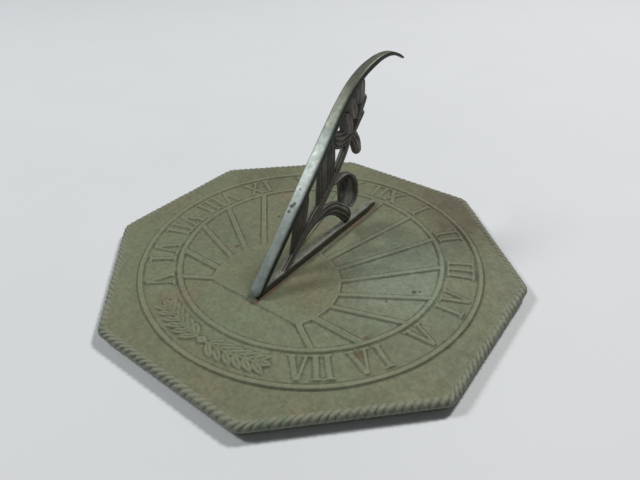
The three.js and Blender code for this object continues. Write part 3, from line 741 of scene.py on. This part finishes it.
def screw_and_washer(place):
    """A slotted pan-head screw, head down, and its washer, sized by their CAD boxes."""
    low, high = cad_box(f"screw_{place}")
    centre, head = (low + high) / 2, (high.x - low.x) / 2
    seat = low.z + HEAD_HEIGHT
    domed = [
        (head * math.sin(a), low.z + HEAD_DOME * (1 - math.cos(a))) for a in np.linspace(0.02, 1.45, 14)
    ]
    threads = []
    for i, z in enumerate(np.arange(seat + 0.4, high.z - 0.6, THREAD_STEP)):
        cut = THREAD_DEPTH * abs(i % STEPS_A_THREAD - STEPS_A_THREAD / 2) / (STEPS_A_THREAD / 2)
        threads.append((SHANK_RADIUS - cut, z))
    profile = [
        *domed, (head, low.z + 1.2), (head, seat - 0.1), (head - 0.1, seat), (SHANK_RADIUS, seat),
        *threads, (SHANK_RADIUS - 0.4, high.z - 0.2), (0.3, high.z - 0.05),
    ]
    screw = ring_stack(f"machine_screw_{place}", lathe_rows(profile, centre))
    slot_ring = [(-1, -1), (1, -1), (1, 1), (-1, 1)]
    slot = ring_stack(f"slot_{place}", np.array([
        [(centre.x + SLOT_REACH * x, centre.y + SLOT_HALF_WIDTH * y, z) for x, y in slot_ring]
        for z in (low.z - 1, low.z + SLOT_DEPTH)
    ]))
    cut_away(screw, slot)
    note_edges(screw, 0.5, passes=1)
    low, high = cad_box(f"washer_{place}")
    outer, inner, bevel = (high.x - low.x) / 2, WASHER_BORE_RADIUS, WASHER_BEVEL
    ring = [
        (inner, low.z + bevel), (inner + bevel, low.z), (outer - bevel, low.z), (outer, low.z + bevel),
        (outer, high.z - bevel), (outer - bevel, high.z), (inner + bevel, high.z), (inner, high.z - bevel),
    ]
    washer = ring_stack(f"plain_washer_{place}", lathe_rows(ring, centre), endless=True)
    note_edges(washer, 0.5, passes=1)
    return screw, washer


# --- materials ---------------------------------------------------------------

def srgb(red, green, blue):
    """A display colour, 0 to 255, as the linear colour that shaders use."""
    share = [c / 255 for c in (red, green, blue)]
    return tuple(c / 12.92 if c < 0.04045 else ((c + 0.055) / 1.055) ** 2.4 for c in share) + (1.0,)


# A ragged spot: its noise's size and its solid core, as shares of its radius
SPOT_NOISE_SIZE, SPOT_CORE = 0.9, 0.35


class Finish:
    """A material under construction: helpers that add nodes and join them, and its colour so far.
    Colours are given as display colours, 0 to 255."""

    def __init__(self, name, colour):
        self.colour = srgb(*colour)
        self.material = bpy.data.materials.new(name)
        self.material.use_nodes = True
        self.nodes = self.material.node_tree.nodes
        self.links = self.material.node_tree.links
        self.shader = self.nodes["Principled BSDF"]
        coordinates = self.nodes.new("ShaderNodeTexCoord")
        self.place = coordinates.outputs["Object"]
        self.normal = coordinates.outputs["Normal"]

    def feed(self, socket, value):
        if isinstance(value, bpy.types.NodeSocket):
            self.links.new(value, socket)
        else:
            socket.default_value = value

    def noise(self, size, detail=3.0, rough=0.55, seed=0.0):
        """Noise from 0 to 1 whose lumps are about size millimetres across."""
        node = self.nodes.new("ShaderNodeTexNoise")
        node.noise_dimensions = "4D"
        self.feed(node.inputs["Vector"], self.place)
        node.inputs["W"].default_value = seed
        node.inputs["Scale"].default_value = 1 / (size * MM)
        node.inputs["Detail"].default_value = detail
        node.inputs["Roughness"].default_value = rough
        return node.outputs["Fac"]

    def span(self, value, low, high, to_low=0.0, to_high=1.0):
        node = self.nodes.new("ShaderNodeMapRange")
        node.interpolation_type = "SMOOTHSTEP"
        self.feed(node.inputs["Value"], value)
        for key, number in zip(("From Min", "From Max", "To Min", "To Max"), (low, high, to_low, to_high)):
            node.inputs[key].default_value = number
        return node.outputs["Result"]

    def ramp(self, place, low, high, to_low=0.0, to_high=1.0):
        """A span between two places in millimetres."""
        return self.span(place, low * MM, high * MM, to_low, to_high)

    def patches(self, size, detail, low, high, least=0.0, most=1.0, rough=0.55, seed=0.0):
        """Noise as a share: least where it is below low, most where it is above high."""
        return self.span(self.noise(size, detail, rough, seed), low, high, least, most)

    def math(self, operation, *values):
        node = self.nodes.new("ShaderNodeMath")
        node.operation = operation
        for socket, value in zip(node.inputs, values):
            self.feed(socket, value)
        return node.outputs[0]

    def product(self, first, *others):
        """All the values multiplied together."""
        for value in others:
            first = self.math("MULTIPLY", first, value)
        return first

    def frayed(self, value, noise, amount):
        """A value moved up and down by noise, by amount from end to end."""
        shift = self.product(self.math("SUBTRACT", noise, 0.5), amount)
        return self.math("ADD", value, shift)

    def mix(self, share, under, over, blend="MIX"):
        node = self.nodes.new("ShaderNodeMix")
        node.data_type = "RGBA"
        node.blend_type = blend
        self.feed(node.inputs["Factor"], share)
        self.feed(node.inputs["A"], under)
        self.feed(node.inputs["B"], over)
        return node.outputs["Result"]

    def paint(self, share, colour):
        """Lays another colour over the colour so far."""
        self.colour = self.mix(share, self.colour, srgb(*colour))

    def shade(self, factor):
        """Darkens or lightens the colour so far."""
        self.colour = self.mix(1.0, self.colour, factor, "MULTIPLY")

    def wear(self):
        """The attribute that note_edges stores."""
        node = self.nodes.new("ShaderNodeAttribute")
        node.attribute_name = "wear"
        return node.outputs["Fac"]

    def along(self, axis, vector=None):
        """One axis of the place, or of another vector."""
        node = self.nodes.new("ShaderNodeSeparateXYZ")
        self.feed(node.inputs[0], vector or self.place)
        return node.outputs[axis]

    def sideways(self):
        """How far the surface faces east or west, 0 to 1."""
        return self.math("ABSOLUTE", self.along("X", self.normal))

    def distance(self, x, y, z):
        """The distance from a point in millimetres."""
        node = self.nodes.new("ShaderNodeVectorMath")
        node.operation = "DISTANCE"
        self.feed(node.inputs[0], self.place)
        node.inputs[1].default_value = (x * MM, y * MM, z * MM)
        return node.outputs["Value"]

    def spot(self, x, y, z, radius, ragged=0.5, seed=0.0):
        """A ragged round patch, 1 at its middle; place and radius in millimetres."""
        noise = self.noise(radius * SPOT_NOISE_SIZE, seed=seed)
        distance = self.frayed(self.distance(x, y, z), noise, 2 * ragged * radius * MM)
        return self.ramp(distance, radius, radius * SPOT_CORE)

    def blots(self, spots, share, colour, ragged=0.5, seed=0, seed_step=1):
        """Paints a colour in each of spots, each (x, y, z, radius)."""
        for i, spot in enumerate(spots):
            blot = self.product(self.spot(*spot, ragged, seed + seed_step * i), share)
            self.paint(blot, colour)

    def inside(self, radius, soft):
        """1 near the dial's centre, 0 beyond radius, fading over soft, both in millimetres."""
        return self.ramp(self.distance(0, 0, 0), radius, radius - soft)

    def bump(self, height, depth):
        """Bump from a height of 0 to 1, depth in millimetres, on top of any before it."""
        node = self.nodes.new("ShaderNodeBump")
        node.inputs["Strength"].default_value = 1.0
        node.inputs["Distance"].default_value = depth * MM
        self.feed(node.inputs["Height"], height)
        before = self.shader.inputs["Normal"].links
        if before:
            self.feed(node.inputs["Normal"], before[0].from_socket)
        self.links.new(node.outputs["Normal"], self.shader.inputs["Normal"])

    def finish(self, roughness, metallic):
        self.feed(self.shader.inputs["Base Color"], self.colour)
        self.feed(self.shader.inputs["Roughness"], roughness)
        self.shader.inputs["Metallic"].default_value = metallic
        return self.material


# Marks on the dial, each (x, y, z, radius)
RUST_SPOTS = [(73, -55, 8, 4.2), (70, -42, 8, 2.6), (-45.5, -22.5, 8, 2.4), (0.8, -58.6, 8.5, 2.4)]
DARK_SPOTS = [(72.5, 7, 8, 2.3), (75, 9.5, 8, 1.2), (63.5, -10, 8, 1.1), (-46.5, 22.5, 8, 1.6)]
PALE_SPECKS = [(-19.5, -105.2, 9, 0.7)]
# A greener patina field in the east, also lightened there as painted light, kept inside a radius with a
# soft edge
FRESH_AND_LIT_FIELD = (57, 20, 8, 64)
FRESH_AND_LIT_REACH, FRESH_AND_LIT_FADE = 92, 8
GREENER_FIELDS = [(10, -74, 8, 44), (-72, -62, 8, 52), (56, -66, 8, 40)]
OCHRE_CLOUDS = [(20, -20, 8, 30)]
VERDIGRIS_SPOTS = [(60, -116, 7, 6), (67, -109, 7, 3.5), (-52, -125, 8, 5)]
# Browner clouds, each (x, y, z, radius, share)
UMBER_CLOUDS = [(56, 108, 8, 44, 0.85), (18, 122, 8, 62, 0.45), (-92, 62, 8, 34, 0.35)]
# Marks along the rail's east foot: where each fades in and out eastwards and northwards, in millimetres,
# its patches as (size, low, high, least, most, seed), and its colour
RAIL_MARKS = [
    ((2.0, 3.0), (5.6, 3.4), (-56, -48), (82, 70), (9, 0.3, 0.5, 0.15, 0.6, 31), (78, 66, 48)),
    ((1.4, 2.8), (5.6, 3.8), (-60, -57), (-30, -42), (5, 0.3, 0.55, 0.2, 0.85, 35), (110, 80, 60)),
    ((1.4, 3.0), (8.5, 3.6), (24, 44), (82, 66), (12, 0.3, 0.62, 0.1, 0.7, 33), (116, 90, 66)),
]
ROPE_GREY_TOP, ROPE_GREY_FOOT = 8.6, 6.2

# Marks on the gnomon, each (x, y, z, radius): first painted shade in the hood's hollow under its rim and a
# painted highlight on its lit inner face, the same on both faces, then dark nicks on the style
HOOD_SHADE = [(2, 35, 46, 8.5), (-2, 35, 46, 8.5)]
HOOD_PAINTED_HIGHLIGHT = [(2, 40, 29, 9.5), (-2, 40, 29, 9.5)]
STYLE_NICKS = [
    (-1.2, -17, 53.4, 1.9), (0.2, -15.6, 54.8, 1.5), (-1.5, -19.6, 51.0, 1.4), (-0.5, -9.4, 61.6, 1.0),
]


def plate_patina(name="plate_patina", grime_and_shade=1.0, rubbing=1.0, green_spots=(), greyed=0.0):
    """Grey-green patina with browner clouds, a greener east field that is also lightened as painted light,
    grime and painted shade in the corners, and rubbed edges.
    grime_and_shade scales the corners' darkening and rubbing the rubbed edges; greyed, from 0 to 1, turns
    it bluer grey, most of all low down."""
    make = Finish(name, (123, 126, 98))
    east, north, height = (make.along(axis) for axis in "XYZ")
    make.paint(make.patches(46, 4, 0.38, 0.62), (117, 123, 97))
    make.paint(make.patches(30, 5, 0.48, 0.7, 0, 0.65, seed=2), (126, 119, 95))
    make.paint(make.patches(60, 4, 0.48, 0.68, 0, 0.5, seed=4), (110, 118, 101))
    # A greener patina in the east, lightened there as painted light.
    fresh_and_lit = make.product(
        make.spot(*FRESH_AND_LIT_FIELD, seed=15),
        make.patches(14, 4, 0.14, 0.44, seed=16),
        make.span(make.inside(FRESH_AND_LIT_REACH, FRESH_AND_LIT_FADE), 0, 1, 0.2, 1),
    )
    make.paint(make.product(fresh_and_lit, 0.85), (130, 143, 121))
    make.blots(GREENER_FIELDS, 0.6, (121, 132, 106), ragged=0.6, seed=40)
    make.blots(OCHRE_CLOUDS, 0.45, (118, 112, 82), ragged=0.6, seed=19)
    for i, (*cloud, share) in enumerate(UMBER_CLOUDS):
        make.blots([cloud], share, (98, 92, 73), ragged=0.6, seed=17 + 30 * i)
    make.shade(make.patches(2.2, 5, 0.3, 0.72, 0.82, 1.15, rough=0.65, seed=6))
    make.shade(make.patches(8, 4, 0.3, 0.7, 0.93, 1.06, rough=0.6, seed=27))
    make.paint(greyed * 0.7, (113, 121, 111))
    flecks = make.patches(1.3, 3, 0.62, 0.72, 0, 0.5, rough=0.6, seed=18)
    flecks = make.product(flecks, make.math("MAXIMUM", fresh_and_lit, greyed))
    make.paint(flecks, (176, 184, 172))
    make.paint(make.patches(0.7, 3, 0.66, 0.78, 0, 0.35, rough=0.6, seed=8), (72, 72, 56))
    make.paint(make.patches(9, 5, 0.58, 0.72, 0, 0.28, seed=11), (100, 124, 103))
    low_grey = make.ramp(height, ROPE_GREY_TOP, ROPE_GREY_FOOT, 0, greyed)
    make.paint(low_grey, (108, 117, 113))
    # Darker in the hollows, partly grime and partly painted shade; lighter on rubbed edges.
    ragged = make.frayed(make.wear(), make.noise(3, 4), 0.4)
    hollow = make.span(ragged, 0.46, 0.16, 0, 0.66)
    hollow = make.product(hollow, make.patches(18, 4, 0.34, 0.6, 0.45, 1.0, seed=24), grime_and_shade)
    make.paint(hollow, (54, 55, 40))
    ridge = make.product(make.span(ragged, 0.56, 0.92, 0, 0.5), rubbing)
    make.paint(ridge, (150, 151, 130))
    make.blots(RUST_SPOTS, 0.75, (98, 78, 54))
    make.blots(DARK_SPOTS, 0.8, (50, 50, 40), seed=9)
    make.blots(green_spots, 0.4, (90, 116, 98), ragged=1.1, seed=20)
    make.blots(PALE_SPECKS, 1.0, (215, 215, 200), ragged=0.2)
    for east_in, east_out, north_in, north_out, patches, colour in RAIL_MARKS:
        size, low, high, least, most, seed = patches
        mark = make.product(
            make.ramp(east, *east_in), make.ramp(east, *east_out),
            make.ramp(north, *north_in), make.ramp(north, *north_out),
            make.patches(size, 4, low, high, least, most, seed=seed),
        )
        make.paint(mark, colour)
    roughness = make.patches(6, 4, 0.3, 0.7, 0.6, 0.78, seed=40)
    make.bump(make.noise(0.55, 4, 0.6, seed=50), 0.06)
    make.bump(make.noise(2.6, 3, seed=51), 0.12)
    return make.finish(roughness, metallic=0.12)


def style_bronze():
    """Smooth handled bronze: blue-green grey face with a painted highlight along its middle, olive towards
    the tip, and sides painted nearly black as shade.
    """
    make = Finish("style_bronze", (148, 158, 152))
    height = make.along("Z")
    make.paint(make.patches(14, 4, 0.4, 0.62), (132, 143, 137))
    make.paint(make.ramp(height, 80, 100), (113, 118, 105))
    # A painted highlight along the middle of the face, from about 46 to 92 mm up.
    painted_highlight = make.product(
        make.ramp(height, 46, 64),
        make.ramp(height, 92, 72),
        make.patches(16, 4, 0.3, 0.6, 0.5, 0.8, seed=15),
    )
    make.paint(painted_highlight, (198, 206, 201))
    make.shade(make.patches(3.0, 5, 0.35, 0.7, 0.84, 1.1, rough=0.65, seed=3))
    make.paint(make.patches(5, 5, 0.6, 0.74, 0, 0.3, seed=6), (86, 92, 82))
    make.blots(STYLE_NICKS, 0.9, (52, 56, 52), ragged=0.8, seed=50)
    make.paint(make.span(make.wear(), 0.48, 0.3, 0, 0.8), (58, 60, 52))
    # Painted shade: the east and west sides nearly black, and rougher there.
    dark = make.span(make.frayed(make.sideways(), make.noise(2, 4), 0.3), 0.5, 0.85, 0, 0.9)
    make.paint(dark, (50, 54, 48))
    roughness = make.patches(4, 4, 0.3, 0.7, 0.42, 0.54, seed=9)
    roughness = make.math("ADD", roughness, make.product(dark, 0.2))
    make.bump(make.noise(0.9, 4, 0.6, seed=12), 0.03)
    return make.finish(roughness, metallic=0.55)


def spray_bronze(name="spray_bronze", lift=0.0):
    """Dark brown-black bronze, darker in its hollows with grime and painted shade, its ridges lighter grey
    where rubbed and where a highlight is painted, and painted shade and highlight on the hood; lift
    lightens it towards bare grey.
    """
    make = Finish(name, (106, 101, 95))
    make.paint(make.patches(9, 4, 0.38, 0.62), (88, 83, 78))
    make.paint(make.patches(4, 5, 0.55, 0.72, 0, 0.5, seed=3), (86, 92, 84))
    make.paint(lift, (136, 136, 128))
    # Painted shade in the hood's hollow under its rim, and a painted highlight on its lit inner face.
    make.blots(HOOD_SHADE, 0.92, (28, 26, 22), seed=60, seed_step=0)
    make.blots(HOOD_PAINTED_HIGHLIGHT, 0.8, (160, 163, 157), seed=62, seed_step=0)
    # Darker in the hollows with grime and painted shade; the ridges lighter grey, partly rubbed and partly
    # a painted highlight.
    ragged = make.frayed(make.wear(), make.noise(1.6, 4), 0.3)
    make.paint(make.span(ragged, 0.46, 0.18, 0, 0.75), (44, 40, 36))
    make.paint(make.span(ragged, 0.58, 0.92, 0, 0.55), (128, 127, 120))
    roughness = make.patches(3, 4, 0.3, 0.7, 0.46, 0.62, seed=7)
    make.bump(make.noise(0.7, 4, 0.6, seed=8), 0.06)
    return make.finish(roughness, metallic=0.35)


def rail_bronze():
    """Worn bronze, grey on top, with painted shade that makes it nearly black low down and at its sides."""
    make = Finish("rail_bronze", (132, 134, 124))
    make.paint(make.patches(8, 4, 0.38, 0.62), (108, 110, 100))
    make.paint(make.patches(18, 4, 0.54, 0.7, 0, 0.5, seed=5), (122, 115, 100))
    # Painted shade: nearly black on the east and west sides, and darker still along the foot.
    edge = make.frayed(make.sideways(), make.noise(2, 4), 0.4)
    make.paint(make.span(edge, 0.5, 0.95, 0, 0.75), (76, 73, 65))
    make.paint(make.ramp(make.along("Z"), 10.4, 8.6, 0, 0.8), (46, 42, 36))
    make.paint(make.span(make.wear(), 0.6, 0.9, 0, 0.3), (128, 128, 120))
    make.shade(make.patches(2.4, 5, 0.3, 0.72, 0.76, 1.16, rough=0.65, seed=6))
    roughness = make.patches(3, 4, 0.3, 0.7, 0.62, 0.78, seed=7)
    make.bump(make.noise(0.8, 4, 0.6, seed=9), 0.1)
    make.bump(make.noise(2.8, 3, seed=10), 0.12)
    return make.finish(roughness, metallic=0.15)


def fastener_brass():
    """Dull brass, browned in its corners."""
    make = Finish("fastener_brass", (150, 126, 74))
    make.paint(make.patches(2.5, 4, 0.36, 0.66), (112, 92, 56))
    make.paint(make.span(make.wear(), 0.48, 0.2, 0, 0.8), (54, 46, 32))
    make.paint(make.span(make.wear(), 0.6, 0.95, 0, 0.6), (190, 168, 112))
    roughness = make.patches(1.5, 3, 0.3, 0.7, 0.3, 0.5, seed=4)
    make.bump(make.noise(0.4, 3, seed=5), 0.02)
    return make.finish(roughness, metallic=0.9)


def table_top():
    """The plain pale floor."""
    make = Finish("table_top", (225, 229, 232))
    make.paint(make.noise(90, 3), (230, 234, 237))
    make.bump(make.noise(3, 3, seed=2), 0.03)
    return make.finish(0.6, metallic=0.0)


# --- the assembly ------------------------------------------------------------

def fit_out(piece, slot, material, *nodes):
    """Gives a piece its material and its place on the frame."""
    piece.data.materials.clear()
    piece.data.materials.append(material)
    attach(piece, "root")
    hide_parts(*nodes)


rope_patina = plate_patina("rope_patina", grime_and_shade=0.62, rubbing=1.1, green_spots=VERDIGRIS_SPOTS, greyed=0.7)
fit_out(dial_casting(), "plate_patina", plate_patina(), "dial_plate")
fit_out(rope_border(), "plate_patina", rope_patina, "dial_plate")
fit_out(style_blade(), "style_bronze", style_bronze(), "style")
fit_out(base_bar(), "rail_bronze", rail_bronze(), "base_rail")
dark_bronze = spray_bronze()
fit_out(stem_bar(), "spray_bronze", spray_bronze("stem_bronze", lift=0.35), "stem")
for node, name, one_side, other_side, half_thickness, ribs, manner in ORNAMENT:
    made = leaf(name, one_side, other_side, half_thickness, ribs, **manner)
    fit_out(made, "spray_bronze", dark_bronze, node)
brass = fastener_brass()
for place in ("south", "north"):
    screw, washer = screw_and_washer(place)
    fit_out(screw, "fastener_brass", brass, f"screw_{place}")
    fit_out(washer, "fastener_brass", brass, f"washer_{place}")


# --- stage, light and camera -------------------------------------------------

FLOOR_HALF = 4.0
LAMP_DISTANCE = 2.4
WORLD_COLOUR, WORLD_STRENGTH = (0.95, 0.975, 1.0, 1.0), 0.1


def floor():
    """The stage: a flat square in metres that the dial lies on."""
    corners = [(x * FLOOR_HALF, y * FLOOR_HALF, 0) for x, y in ((-1, -1), (1, -1), (1, 1), (-1, 1))]
    mesh = bpy.data.meshes.new("floor")
    mesh.from_pydata(corners, [], [(0, 1, 2, 3)])
    mesh.materials.append(table_top())
    piece = bpy.data.objects.new("floor", mesh)
    bpy.context.scene.collection.objects.link(piece)


def soft_light(name, towards, size, power, colour):
    """A square soft light in the direction towards, aimed at the dial."""
    light = bpy.data.lights.new(name, "AREA")
    light.size, light.energy, light.color = size, power, colour
    lamp = bpy.data.objects.new(name, light)
    way = Vector(towards).normalized()
    lamp.location = way * LAMP_DISTANCE
    lamp.rotation_mode = "QUATERNION"
    lamp.rotation_quaternion = way.to_track_quat("Z", "Y")
    bpy.context.scene.collection.objects.link(lamp)


def camera():
    """The camera at the photograph's viewing angle."""
    azimuth, elevation = math.radians(AZIMUTH), math.radians(ELEVATION)
    back = Vector((
        math.sin(azimuth) * math.cos(elevation),
        -math.cos(azimuth) * math.cos(elevation),
        math.sin(elevation),
    ))
    data = bpy.data.cameras.new("camera")
    data.lens, data.sensor_width = LENS, SENSOR
    data.clip_start, data.clip_end = 0.01, 50
    eye = bpy.data.objects.new("camera", data)
    level = back.to_track_quat("Z", "Y").to_matrix().to_4x4()
    tilt = Matrix.Rotation(math.radians(ROLL), 4, "Z")
    eye.matrix_world = Matrix.Translation(AIM + back * DISTANCE) @ level @ tilt
    bpy.context.scene.collection.objects.link(eye)
    bpy.context.scene.camera = eye


floor()
soft_light("north_lamp", (0.094, 0.573, 0.814), 0.416, 33.2, (1.0, 0.975, 0.95))
soft_light("west_lamp", (-0.611, -0.311, 0.728), 0.48, 23.4, (0.99, 1.0, 1.0))
world = bpy.data.worlds.new("studio")
world.use_nodes = True
sky = world.node_tree.nodes["Background"]
sky.inputs["Color"].default_value = WORLD_COLOUR
sky.inputs["Strength"].default_value = WORLD_STRENGTH
bpy.context.scene.world = world
bpy.context.scene.view_settings.view_transform = "Standard"
camera()
